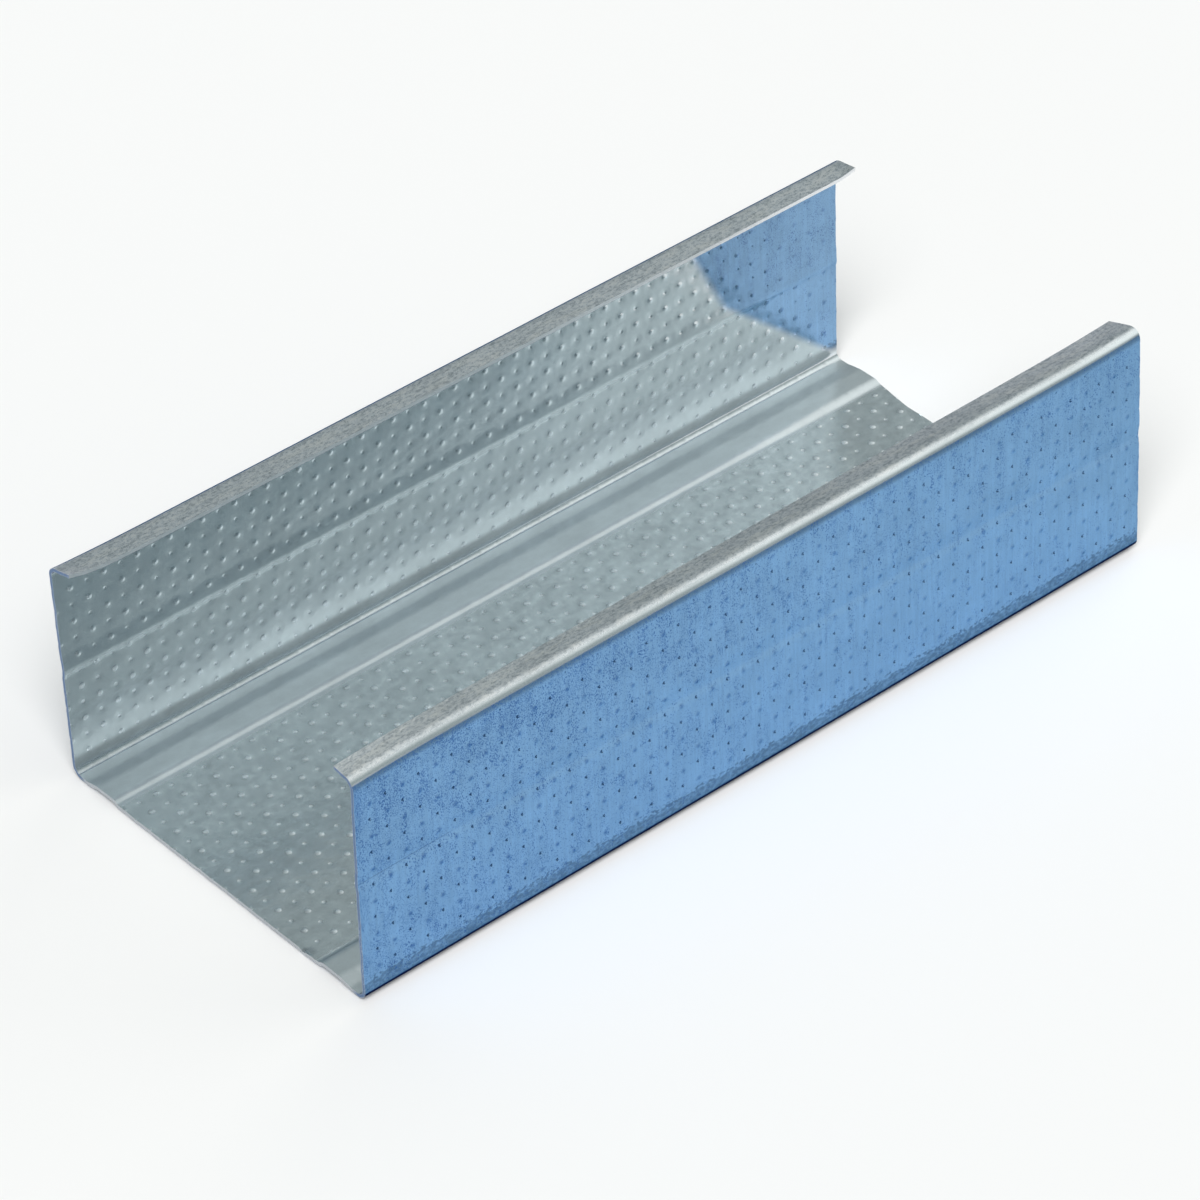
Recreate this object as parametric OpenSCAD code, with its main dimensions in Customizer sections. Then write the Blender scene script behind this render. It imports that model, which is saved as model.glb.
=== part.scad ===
// Steel stud: a C-shaped framing profile, cold rolled from one strip of thin galvanised sheet.
//
// The strip runs along X and lies on its web with the open side up. The origin is on the
// resting plane, at the middle of the length and of the width. The front flange, towards -Y,
// is a little taller than the rear one, so that two studs can be boxed into each other.
//
// The section is one strip of even thickness. Its middle line is laid out corner by corner:
// web, rib, flange bend, flange crease, lip bend, lip. Each corner has its own bend
// radius, and the two faces of the sheet follow the middle line at half a thickness.

/* [Overall] */
// Length of the piece of stud
stud_length = 153; // [60:1:600]
// Width across the web, outside to outside
web_width = 68.8; // [45:0.2:150]
// Height of the front flange, outside to outside
front_height = 41; // [34:0.5:60]
// Height of the rear flange, outside to outside
rear_height = 39; // [34:0.5:60]
// Thickness of the sheet
sheet = 0.6; // [0.4:0.05:1.2]

/* [Bends and lips] */
// Inside radius of the bends between web and flanges
flange_bend_r = 1.2; // [0.6:0.1:3]
// Inside radius of the bends between flanges and lips
lip_bend_r = 1.2; // [0.4:0.1:2]
// Depth of the lips, from the flange's outer face to the free edge
lip_depth = 5.2; // [4:0.1:12]

/* [Web ribs] */
// Flat left between the flange bend and the foot of the rib
rib_gap = 1.6; // [0.8:0.1:4]
// Width of the rib's gentle side, next to the flange
rib_lead_w = 2.6; // [1.8:0.1:5]
// Width of the rib's flat top, between its corners
rib_top_w = 3.7; // [1.5:0.1:8]
// Width of the rib's steep side, next to the web's middle
rib_drop_w = 1.3; // [0.9:0.1:3]
// Height of the rib's top above the web
rib_rise = 0.5; // [0.2:0.05:1]
// Radius of the rib's rounded corners, at the middle of the sheet
rib_r = 1.6; // [0.8:0.1:2]

/* [Flange creases] */
// Depth of the crease's ridge below the top of its flange
crease_drop = 19.5; // [14:0.5:24]
// Depth that the ridge is pressed into the flange
crease_depth = 0.2; // [0.1:0.05:0.4]
// Width of the crease's lower side
crease_lower_w = 0.9; // [0.8:0.1:3]
// Width of the crease's upper side
crease_upper_w = 2.9; // [1.5:0.1:5]
// Radius of the crease's rounded corners, at the middle of the sheet
crease_r = 0.8; // [0.7:0.1:1.4]

/* [Hidden] */

zinc = [0.66, 0.68, 0.70];
arc_step = 7.5;

half_sheet = sheet / 2;
web_level = half_sheet;
rib_level = web_level + rib_rise;
flange_line = web_width / 2 - half_sheet;
rib_outer_foot = flange_line - half_sheet - flange_bend_r - rib_gap;
rib_outer_edge = rib_outer_foot - rib_lead_w;
rib_inner_edge = rib_outer_edge - rib_top_w;
rib_inner_foot = rib_inner_edge - rib_drop_w;

// Corners of half the middle line, as [across, up, bend radius], from the web's flat to the
// free edge of the lip, on a flange of the given height.
function half_line(height) =
    let (ridge_level = height - crease_drop, lip_level = height - half_sheet)
    [
        [rib_inner_foot, web_level, rib_r],
        [rib_inner_edge, rib_level, rib_r],
        [rib_outer_edge, rib_level, rib_r],
        [rib_outer_foot, web_level, rib_r],
        [flange_line, web_level, flange_bend_r + half_sheet],
        [flange_line, ridge_level - crease_lower_w, crease_r],
        [flange_line - crease_depth, ridge_level, crease_r],
        [flange_line, ridge_level + crease_upper_w, crease_r],
        [flange_line, lip_level, lip_bend_r + half_sheet],
        [web_width / 2 - lip_depth, lip_level, 0],
    ];

// The same corners on the other side of the web, in the opposite order.
function mirrored(line) = [for (i = [len(line) - 1 : -1 : 0]) [-line[i].x, line[i].y, line[i].z]];

// The whole middle line, from the free edge of the front lip to that of the rear lip.
MIDDLE_LINE = concat(mirrored(half_line(front_height)), half_line(rear_height));
LAST = len(MIDDLE_LINE) - 1;

function place(i) = [MIDDLE_LINE[i].x, MIDDLE_LINE[i].y];
function unit(angle) = [cos(angle), sin(angle)];

// Direction of the flat that follows corner i; the last corner ends the last flat.
function heading(i) =
    let (j = min(i, LAST - 1), run = place(j + 1) - place(j))
        atan2(run.y, run.x);

// Angle through which the strip turns at corner i, positive to the left.
function turn(i) =
    (i == 0 || i == LAST) ? 0
    : let (t = heading(i) - heading(i - 1))
        t > 180 ? t - 360 : t < -180 ? t + 360 : t;

// Points of one face of the sheet round corner i. side is 1 for the face on the left of the
// middle line and -1 for the face on its right.
function face_points(i, side) =
    turn(i) == 0 ? [place(i) + side * half_sheet * unit(heading(i) + 90)]
    : let (
        hand = sign(turn(i)),
        r = MIDDLE_LINE[i].z,
        from = heading(i - 1) - hand * 90,
        centre = place(i)
            - r * tan(abs(turn(i)) / 2) * unit(heading(i - 1))
            + hand * r * unit(heading(i - 1) + 90),
        steps = max(2, ceil(abs(turn(i)) / arc_step))
    )
        [for (k = [0 : steps]) centre + (r - hand * side * half_sheet) * unit(from + turn(i) * k / steps)];

// The section of the stud: down one face of the sheet and back up the other.
module section() {
    polygon(concat(
        [for (i = [0 : LAST]) each face_points(i, -1)],
        [for (i = [LAST : -1 : 0]) let (back = face_points(i, 1)) for (k = [len(back) - 1 : -1 : 0]) back[k]]
    ));
}

module stud() {
    color(zinc)
        translate([-stud_length / 2, 0, 0])
            rotate([90, 0, 90])
                linear_extrude(height = stud_length) section();
}

stud();
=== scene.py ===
"""Looks of a short piece of dimpled, cold-rolled steel stud, in metres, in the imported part's frame.

The sheet is made the way the mill makes it. A flat blank with a lattice of dimples is laid out,
repeated column by column, rolled to the stud's section and sprung out of true at its cut ends.
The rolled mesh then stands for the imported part's plain solid. The dimples are in the mesh, and
the zinc's bump sharpens the same lattice from the same arithmetic.
"""

import cmath
import logging
import math
from collections.abc import Iterable, Mapping, Sequence
from dataclasses import dataclass
from enum import Enum

import bpy
import numpy as np
from mathutils import Matrix, Vector, geometry


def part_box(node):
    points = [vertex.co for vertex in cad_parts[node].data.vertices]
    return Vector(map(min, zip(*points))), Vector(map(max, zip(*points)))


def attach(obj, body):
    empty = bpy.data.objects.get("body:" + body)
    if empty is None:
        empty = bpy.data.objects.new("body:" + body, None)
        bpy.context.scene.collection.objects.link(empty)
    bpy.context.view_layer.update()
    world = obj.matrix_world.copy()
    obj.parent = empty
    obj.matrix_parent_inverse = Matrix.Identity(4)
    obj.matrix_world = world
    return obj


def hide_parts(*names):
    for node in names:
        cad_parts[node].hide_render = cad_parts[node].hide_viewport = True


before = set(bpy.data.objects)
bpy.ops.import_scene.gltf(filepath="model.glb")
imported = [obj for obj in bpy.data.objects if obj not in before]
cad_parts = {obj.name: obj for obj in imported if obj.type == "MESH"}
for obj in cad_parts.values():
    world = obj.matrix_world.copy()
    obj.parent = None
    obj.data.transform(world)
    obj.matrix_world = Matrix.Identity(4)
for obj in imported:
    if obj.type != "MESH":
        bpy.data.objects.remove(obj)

LOG = logging.getLogger("steel_stud")
MM = 0.001
NODE = "stud"
BODY = "root"
BAKE_MAP = "OFBake"

Colour = tuple[float, float, float, float]
FLOAT = "NodeSocketFloat"
VECTOR = "NodeSocketVector"
GEOMETRY = "NodeSocketGeometry"
OBJECT = "NodeSocketObject"
MATERIAL = "NodeSocketMaterial"


class Skin(Enum):
    """The two faces of the sheet, with the side of the middle line on which each lies."""

    INNER = 1
    OUTER = -1


def shown(red: float, green: float, blue: float) -> Colour:
    """Turns a colour as a screen shows it into the linear one that a shader takes."""
    levels = (c / 12.92 if c <= 0.04045 else ((c + 0.055) / 1.055) ** 2.4 for c in (red, green, blue))
    return (*levels, 1.0)


class Term:
    """A value in a node tree, so that sums on it can be written plainly.

    Args:
        graph: The graph that the value is in.
        socket: The output that gives it.
    """

    def __init__(self, graph: "Graph", socket: bpy.types.NodeSocket) -> None:
        self.graph = graph
        self.socket = socket

    def __add__(self, other: "Operand") -> "Term":
        """The sum."""
        return self.graph.math("ADD", self, other)

    def __sub__(self, other: "Operand") -> "Term":
        """The difference."""
        return self.graph.math("SUBTRACT", self, other)

    def __rsub__(self, other: "Operand") -> "Term":
        """The difference, taken from the other number."""
        return self.graph.math("SUBTRACT", other, self)

    def __mul__(self, other: "Operand") -> "Term":
        """The product."""
        return self.graph.math("MULTIPLY", self, other)

    def __truediv__(self, other: "Operand") -> "Term":
        """The quotient."""
        return self.graph.math("DIVIDE", self, other)

    def __abs__(self) -> "Term":
        """The number without its sign."""
        return self.graph.math("ABSOLUTE", self)

    def __lt__(self, other: "Operand") -> "Term":
        """Is 1 where the number is below the other."""
        return self.graph.math("LESS_THAN", self, other)

    def __gt__(self, other: "Operand") -> "Term":
        """Is 1 where the number is above the other."""
        return self.graph.math("GREATER_THAN", self, other)


Operand = Term | float


class Graph:
    """Short hand for a node tree: adds nodes, links them and writes arithmetic.

    Args:
        tree: The node tree that the nodes go into.
    """

    def __init__(self, tree: bpy.types.NodeTree) -> None:
        self.tree = tree

    def add(
        self, kind: str, inputs: Mapping[str | int, object] | None = None, **settings: object
    ) -> bpy.types.Node:
        """Adds a node.

        Args:
            kind: The node's type name.
            inputs: A plain value or a term for each input, by name or by index.
            settings: Properties of the node.

        Returns:
            The new node.
        """
        node = self.tree.nodes.new(kind)
        for name, value in settings.items():
            setattr(node, name, value)
        for key, value in (inputs or {}).items():
            self.feed(node.inputs[key], value)
        return node

    def read(
        self,
        kind: str,
        inputs: Mapping[str | int, object] | None = None,
        output: str | int = 0,
        **settings: object,
    ) -> Term:
        """Adds a node and reads one of its outputs."""
        return Term(self, self.add(kind, inputs, **settings).outputs[output])

    def feed(self, socket: bpy.types.NodeSocket, value: object) -> None:
        """Links a term to an input, or writes a plain value on it.

        Args:
            socket: The input.
            value: The term or the plain value.
        """
        if isinstance(value, Term):
            self.tree.links.new(value.socket, socket)
        else:
            socket.default_value = value

    def terms(self, node: bpy.types.Node) -> dict[str, Term]:
        """All outputs of a node, by name."""
        return {socket.name: Term(self, socket) for socket in node.outputs}

    def given(self) -> dict[str, Term]:
        """The inputs of a group, as the nodes inside it see them."""
        return self.terms(self.tree.nodes["in"])

    def give(self, name: str, value: object) -> None:
        """Feeds one of a group's outputs."""
        self.feed(self.tree.nodes["out"].inputs[name], value)

    def math(self, operation: str, *operands: Operand, clamp: bool = False) -> Term:
        """Adds a Math node."""
        return self.read("ShaderNodeMath", dict(enumerate(operands)), operation=operation, use_clamp=clamp)

    def vector(self, operation: str, *operands: object) -> Term:
        """Adds a Vector Math node; its output is a number for lengths and dot products."""
        output = "Value" if operation in {"LENGTH", "DOT_PRODUCT"} else "Vector"
        return self.read("ShaderNodeVectorMath", dict(enumerate(operands)), output, operation=operation)

    def scaled(self, vector: Term, factor: Operand) -> Term:
        """Multiplies a vector by a number."""
        return self.read("ShaderNodeVectorMath", {0: vector, "Scale": factor}, operation="SCALE")

    def compose(self, x: Operand, y: Operand, z: Operand) -> Term:
        """Joins three numbers into a vector."""
        return self.read("ShaderNodeCombineXYZ", {"X": x, "Y": y, "Z": z})

    def split(self, vector: Term) -> tuple[Term, Term, Term]:
        """Takes a vector apart into its three numbers."""
        x, y, z = self.terms(self.add("ShaderNodeSeparateXYZ", {0: vector})).values()
        return x, y, z

    def choose(self, share: Term, low: Operand, high: Operand) -> Term:
        """Mixes two numbers: low where the share is 0 and high where it is 1."""
        return self.math("MULTIPLY_ADD", share, high - low, low)

    def blend(self, share: Operand, low: object, high: object, mode: str = "MIX") -> Term:
        """Mixes two colours."""
        inputs = {0: share, 6: low, 7: high}
        return self.read("ShaderNodeMix", inputs, 2, data_type="RGBA", blend_type=mode)

    def shaded(self, colour: object, shade: Term) -> Term:
        """Multiplies a colour by a number."""
        return self.blend(1.0, colour, self.compose(shade, shade, shade), "MULTIPLY")

    def ramp(self, value: Term, low: Operand, high: Operand) -> Term:
        """Rises smoothly from 0 at low to 1 at high.

        Args:
            value: The number that is looked at.
            low: Where the ramp starts.
            high: Where it ends. Below low, the ramp falls instead.

        Returns:
            The share, from 0 to 1.
        """
        inputs = {"Value": value, "From Min": low, "From Max": high}
        settings = {"interpolation_type": "SMOOTHSTEP", "clamp": True}
        return self.read("ShaderNodeMapRange", inputs, "Result", **settings)

    def band(self, value: Term, low: float, high: float, soft: float) -> Term:
        """Is 1 between two values and falls smoothly to 0 over a soft edge outside each of them."""
        return self.ramp(value, low - soft, low) * (1.0 - self.ramp(value, high, high + soft))

    def noise(self, place: Term, size: float, detail: float = 2.0, roughness: float = 0.5) -> Term:
        """Cloudy noise about 0.5.

        Args:
            place: Where the noise is read, in metres.
            size: Size of the largest clouds, in metres.
            detail: How many finer layers are added.
            roughness: How strong the finer layers are.

        Returns:
            The noise's value.
        """
        inputs = {"Vector": place, "Scale": 1 / size, "Detail": detail, "Roughness": roughness}
        return self.read("ShaderNodeTexNoise", inputs)

    def store(self, mesh: Term, name: str, value: Term) -> Term:
        """Keeps a vector at each point of a mesh under a name.

        Args:
            mesh: The mesh.
            name: The attribute's name.
            value: The vector.

        Returns:
            The mesh with the attribute.
        """
        inputs = {"Geometry": mesh, "Name": name, "Value": value}
        settings = {"data_type": "FLOAT_VECTOR", "domain": "POINT"}
        return self.read("GeometryNodeStoreNamedAttribute", inputs, **settings)

    def recall(self, name: str, kind: str) -> Term:
        """Reads what is kept under a name."""
        return self.read("GeometryNodeInputNamedAttribute", {"Name": name}, "Attribute", data_type=kind)


def new_group(name: str, kind: str, inputs: Iterable[tuple], outputs: Iterable[tuple[str, str]]) -> Graph:
    """Makes an empty node group with named sockets.

    Args:
        name: The group's name.
        kind: The tree type, for geometry or for shaders.
        inputs: A name, a socket type and, for a number, a default value for each input.
        outputs: A name and a socket type for each output.

    Returns:
        The graph of the new group. Its two ends are the nodes named in and out.
    """
    tree = bpy.data.node_groups.new(name, kind)
    for socket_name, socket_type, *default in inputs:
        socket = tree.interface.new_socket(socket_name, in_out="INPUT", socket_type=socket_type)
        if default:
            socket.default_value = default[0]
    for socket_name, socket_type in outputs:
        tree.interface.new_socket(socket_name, in_out="OUTPUT", socket_type=socket_type)
    graph = Graph(tree)
    graph.add("NodeGroupInput", name="in")
    graph.add("NodeGroupOutput", name="out")
    return graph


@dataclass(frozen=True)
class Corner:
    """A corner of the sheet's middle line, with the radius that it is rounded to."""

    across: float
    up: float
    radius: float = 0.0


@dataclass(frozen=True)
class Station:
    """A point of the rounded middle line, with its distance along the sheet from the web's middle."""

    distance: float
    across: float
    up: float


@dataclass(frozen=True)
class SectionProfile:
    """The stud's section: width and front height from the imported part, the rest as it is drawn."""

    width: float
    front_height: float
    rear_height: float = 39 * MM
    sheet: float = 0.6 * MM
    flange_bend_r: float = 1.2 * MM
    lip_bend_r: float = 1.2 * MM
    lip_depth: float = 5.2 * MM
    rib_gap: float = 1.6 * MM
    rib_lead_w: float = 2.6 * MM
    rib_top_w: float = 3.7 * MM
    rib_drop_w: float = 1.1 * MM
    rib_rise: float = 0.5 * MM
    rib_r: float = 1.6 * MM
    crease_drop: float = 19.5 * MM
    crease_depth: float = 0.2 * MM
    crease_lower_w: float = 0.9 * MM
    crease_upper_w: float = 2.9 * MM
    crease_r: float = 0.8 * MM

    def half_corners(self, height: float) -> list[Corner]:
        """Corners from the web's flat to the free edge of the lip, on a flange of that height.

        Args:
            height: Height of the flange over the floor, outside to outside.

        Returns:
            The corners, in order.
        """
        half = self.sheet / 2
        flange = self.width / 2 - half
        ridge = height - self.crease_drop
        foot = flange - half - self.flange_bend_r - self.rib_gap
        edge = foot - self.rib_lead_w
        inner = edge - self.rib_top_w
        return [
            Corner(inner - self.rib_drop_w, half, self.rib_r),
            Corner(inner, half + self.rib_rise, self.rib_r),
            Corner(edge, half + self.rib_rise, self.rib_r),
            Corner(foot, half, self.rib_r),
            Corner(flange, half, self.flange_bend_r + half),
            Corner(flange, ridge - self.crease_lower_w, self.crease_r),
            Corner(flange - self.crease_depth, ridge, self.crease_r),
            Corner(flange, ridge + self.crease_upper_w, self.crease_r),
            Corner(flange, height - half, self.lip_bend_r + half),
            Corner(self.width / 2 - self.lip_depth, height - half),
        ]

    def trace(self, arc_step: float) -> list[Station]:
        """Follows the rounded middle line from the front lip's free edge to the rear lip's.

        Args:
            arc_step: The largest turn between two points of a bend, in radians.

        Returns:
            The ends of every flat and points on every bend.
        """
        front = self.half_corners(self.front_height)
        corners = [Corner(-c.across, c.up, c.radius) for c in reversed(front)]
        corners += self.half_corners(self.rear_height)
        places = [complex(c.across, c.up) for c in corners]
        track: list[tuple[float, complex]] = [(0.0, places[0])]
        for before, here, after, corner in zip(places, places[1:], places[2:], corners[1:]):
            into = (here - before) / abs(here - before)
            out = (after - here) / abs(after - here)
            turn = cmath.phase(out / into)
            start = here - into * corner.radius * math.tan(abs(turn) / 2)
            centre = start + into * 1j * math.copysign(corner.radius, turn)
            run = track[-1][0] + abs(start - track[-1][1])
            steps = max(2, math.ceil(abs(turn) / arc_step))
            for k in range(steps + 1):
                share = k / steps
                point = centre + (start - centre) * cmath.exp(1j * turn * share)
                track.append((run + corner.radius * abs(turn) * share, point))
        track.append((track[-1][0] + abs(places[-1] - track[-1][1]), places[-1]))
        middle = next((a[0] + b[0]) / 2 for a, b in zip(track, track[1:]) if a[1].real < 0 < b[1].real)
        return [Station(run - middle, point.real, point.imag) for run, point in track]


@dataclass(frozen=True)
class DimplePattern:
    """The knurled lattice: dimples pushed in from either face by turns, like a chequerboard.

    A dimple is a sharp pit where the outer roll's pins struck and a softer dent where the inner
    roll's did. It swells to a wide pimple on the other face, and the sheet round it dips a little.
    """

    columns: int = 51
    pitch: float = 3.0 * MM
    column_shift: float = -0.25 * MM
    front_shift: float = 0.19 * MM
    rear_shift: float = 0.945 * MM
    pit_depth: float = 0.18 * MM
    pit_r: float = 0.36 * MM
    dent_depth: float = 0.05 * MM
    dent_r: float = 0.45 * MM
    pimple_height: float = 0.080 * MM
    pimple_r: float = 0.65 * MM
    skirt_depth: float = 0.030 * MM
    skirt_r: float = 1.4 * MM
    rib_share: float = 0.12
    lip_share: float = 0.3
    end_share: float = 0.5
    bend_margin: float = 0.8 * MM
    end_margin: float = 1.0 * MM
    edge_margin: float = 0.8 * MM
    ring_inner: float = 0.28 * MM
    ring_outer: float = 0.75 * MM
    ring_inner_turn: float = math.radians(30)
    ring_outer_turn: float = math.radians(32)

    def sizes(self) -> dict[str, float]:
        """The lattice's sizes, under the names that the node groups give their sockets.

        Returns:
            The sizes, in metres.
        """
        return {
            "Pitch": self.pitch,
            "Pit Depth": self.pit_depth,
            "Pit Radius": self.pit_r,
            "Dent Depth": self.dent_depth,
            "Dent Radius": self.dent_r,
            "Pimple Height": self.pimple_height,
            "Pimple Radius": self.pimple_r,
            "Skirt Depth": self.skirt_depth,
            "Skirt Radius": self.skirt_r,
        }

    def sockets(self) -> list[tuple[str, str, float]]:
        """Group sockets for the lattice's sizes."""
        return [(name, FLOAT, value) for name, value in self.sizes().items()]


@dataclass
class Blank:
    """The flat strip before it is rolled, laid out column by column.

    A column is the strip between two neighbouring columns of dimples. Distances along run down
    the stud, and distances across go from the web's middle, positive towards the rear lip.
    """

    profile: SectionProfile
    pattern: DimplePattern
    arc_step: float = math.radians(16)
    soft_bend: float = 0.7 * MM
    closest: float = 0.12 * MM
    snap: float = 1e-5

    def __post_init__(self) -> None:
        coarse = [s.distance for s in self.profile.trace(math.pi)]
        self.front_edge, self.rear_edge = coarse[0], coarse[-1]
        bends = [(coarse[i], coarse[i + 2]) for i in range(1, len(coarse) - 1, 3)]
        rib, flange, lip = bends[len(bends) // 2], bends[-5], bends[-1]
        self.rib_start, self.flange_foot = rib[0], flange[1]
        self.front_lip, self.rear_lip = bends[0][0], lip[1]
        self.lip_bend = lip[1] - lip[0]
        self.lip_flat = self.rear_edge - self.rear_lip
        self.stations = self._station_places(bends)
        self.web_edge = self.profile.width / 2
        self.length = self.pattern.columns * self.pattern.pitch
        self.left = self.pattern.column_shift - self.length / 2
        self.rows = self._row_centres()
        self.border = self._border_points()

    def _station_places(self, bends: Sequence[tuple[float, float]]) -> list[float]:
        """Distances at which the section's direction changes, or its shading does beside a bend.

        Args:
            bends: Where each bend starts and ends.

        Returns:
            The distances, from front to rear.
        """
        places = [s.distance for s in self.profile.trace(self.arc_step)]
        for start, end in bends:
            for away in (self.soft_bend, self.soft_bend / 2):
                for place in (start - away, end + away):
                    if all(abs(place - other) >= self.closest for other in places):
                        places.append(place)
        return sorted(p for p in places if self.front_edge <= p <= self.rear_edge)

    def _row_centres(self) -> list[float]:
        """Places of the rows of dimples: the front flange's are stepped from the others.

        Returns:
            The rows' distances across.
        """
        pattern = self.pattern
        reach = math.ceil(max(self.rear_edge, -self.front_edge) / pattern.pitch)
        stepped = {
            pattern.front_shift: (self.front_edge, -self.web_edge),
            pattern.rear_shift: (-self.web_edge, self.rear_edge),
        }
        rows: list[float] = []
        for shift, (low, high) in stepped.items():
            places = [shift + k * pattern.pitch for k in range(-reach, reach + 1)]
            rows += [p for p in places if low + pattern.ring_outer < p < high - pattern.ring_outer]
        return rows

    def _border_points(self) -> list[float]:
        """Distances of the points that lie on both long sides of a column.

        Returns:
            The distances, from front to rear.
        """
        pattern = self.pattern
        wanted = list(self.rows)
        for ring in (pattern.ring_inner, pattern.ring_outer):
            wanted += [row + side * ring for row in self.rows for side in (-1, 1)]
        kept = list(self.stations)
        for distance in wanted:
            inside = self.front_edge + self.closest < distance < self.rear_edge - self.closest
            if inside and all(abs(distance - other) >= self.closest for other in kept):
                kept.append(distance)
        return sorted(kept)

    def _is_plain(self, distance: float, skin: Skin) -> bool:
        """True where a face is out of sight, so that its dimples need only a few faces."""
        under_web = skin is Skin.OUTER and abs(distance) < self.web_edge - 2 * self.pattern.pitch
        return under_web or not self.front_lip < distance < self.rear_lip

    def _is_knurled(self, distance: float) -> bool:
        """True where the dimples are at their full depth: off the ribs, the bends and the lips."""
        on_rib = self.rib_start < abs(distance) < self.flange_foot
        return not on_rib and self.front_lip + self.lip_bend < distance < self.rear_lip - self.lip_bend

    def _inside_points(self, skin: Skin) -> list[tuple[float, float]]:
        """Points of a face between the column's sides: the rings of half dimples.

        Args:
            skin: Which face of the sheet.

        Returns:
            The points, as distances along and across.
        """
        pattern = self.pattern
        points: list[tuple[float, float]] = []
        for row in self.rows:
            turns = {pattern.ring_inner: pattern.ring_inner_turn, pattern.ring_outer: pattern.ring_outer_turn}
            rings = [(radius, (-turn, turn)) for radius, turn in turns.items()]
            if self._is_plain(row, skin):
                rings = [(pattern.ring_outer, (0.0,))]
            for radius, angles in rings:
                for angle in angles:
                    along, across = radius * math.cos(angle), row + radius * math.sin(angle)
                    if all(abs(across - s) >= self.closest for s in self.stations):
                        points += [(along, across), (pattern.pitch - along, across)]
        for station in filter(self._is_knurled, self.stations):
            if any(abs(station - row) < pattern.ring_outer for row in self.rows):
                for along in (pattern.ring_inner, pattern.ring_outer):
                    points += [(along, station), (pattern.pitch - along, station)]
        return points

    def _skin(self, skin: Skin) -> tuple[list[Vector], list[list[int]]]:
        """Triangulates one face of a column, in the plane of that face.

        Args:
            skin: Which face of the sheet.

        Returns:
            The face's points and its triangles.
        """
        count = len(self.border)
        flat = [(along, across) for along in (0.0, self.pattern.pitch) for across in self.border]
        place = {across: i for i, across in enumerate(self.border)}
        edges = [(place[s], place[s] + count) for s in self.stations]
        flat += self._inside_points(skin)
        points = [Vector(p) / MM for p in flat]
        verts, _, faces, *_ = geometry.delaunay_2d_cdt(points, edges, [], 0, self.snap, False)
        level = skin.value * self.profile.sheet / 2
        turned = [list(f) if _area(verts, f) * skin.value > 0 else list(reversed(f)) for f in faces]
        return [Vector((p.x * MM, p.y * MM, level)) for p in verts], turned

    def column_mesh(self) -> bpy.types.Mesh:
        """Both faces of a column and the two short stretches of free edge between them.

        Returns:
            The mesh.
        """
        inner_verts, inner_faces = self._skin(Skin.INNER)
        outer_verts, outer_faces = self._skin(Skin.OUTER)
        offset = len(inner_verts)
        verts = inner_verts + outer_verts
        faces = inner_faces + [[i + offset for i in f] for f in outer_faces]
        skins = len(faces)
        half = self.profile.sheet / 2
        for across in (self.front_edge, self.rear_edge):
            along = (0.0, self.pattern.pitch) if across > 0 else (self.pattern.pitch, 0.0)
            base = len(verts)
            verts += [Vector((x, across, z)) for z in (half, -half) for x in along]
            faces.append([base, base + 1, base + 3, base + 2])
        return _blank_mesh("blank_column", verts, faces, skins)

    def end_mesh(self) -> bpy.types.Mesh:
        """The cut end of the blank, facing -X.

        Returns:
            The mesh.
        """
        half = self.profile.sheet / 2
        verts = [Vector((0.0, across, z)) for across in self.border for z in (half, -half)]
        faces = [[i, i + 2, i + 3, i + 1] for i in range(0, len(verts) - 2, 2)]
        return _blank_mesh("blank_end", verts, faces, 0)


def _area(verts: Sequence[Vector], face: Sequence[int]) -> float:
    """Twice the signed area of a flat triangle."""
    a, b, c = (verts[i] for i in face[:3])
    return (b - a).cross(c - a)


def _new_mesh(name: str, verts: Sequence[Vector], faces: Sequence[Sequence[int]]) -> bpy.types.Mesh:
    """Makes a mesh from plain lists.

    Args:
        name: The mesh's name.
        verts: Its points.
        faces: Its faces, as numbers of points.

    Returns:
        The mesh.
    """
    mesh = bpy.data.meshes.new(name)
    mesh.from_pydata([tuple(v) for v in verts], [], [tuple(f) for f in faces])
    mesh.update()
    return mesh


def _blank_mesh(
    name: str, verts: Sequence[Vector], faces: Sequence[Sequence[int]], skins: int
) -> bpy.types.Mesh:
    """Makes a mesh whose faces past the first few are marked as cut metal.

    Args:
        name: The mesh's name.
        verts: Its points.
        faces: Its faces, those of the sheet's skins first.
        skins: How many faces are skin.

    Returns:
        The mesh, with the face attribute cut.
    """
    mesh = _new_mesh(name, verts, faces)
    cut = mesh.attributes.new("cut", "BOOLEAN", "FACE")
    cut.data.foreach_set("value", [i >= skins for i in range(len(mesh.polygons))])
    return mesh


def _new_object(name: str, data: bpy.types.ID) -> bpy.types.Object:
    """Links a new object to the scene.

    Args:
        name: The object's name.
        data: Its mesh, curve, light or camera.

    Returns:
        The object.
    """
    thing = bpy.data.objects.new(name, data)
    bpy.context.scene.collection.objects.link(thing)
    return thing


def past_lip(graph: Graph, blank: Blank, across: Term) -> Term:
    """Distance past the start of the nearer lip's flat, negative on the flanges and the web."""
    return graph.math("MAXIMUM", blank.front_lip - across, across - blank.rear_lip)


@dataclass(frozen=True)
class Dimple:
    """The lattice at a point: its push towards the channel, its core there, and which way it goes."""

    push: Term
    core: Term
    raised: Term


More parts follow.
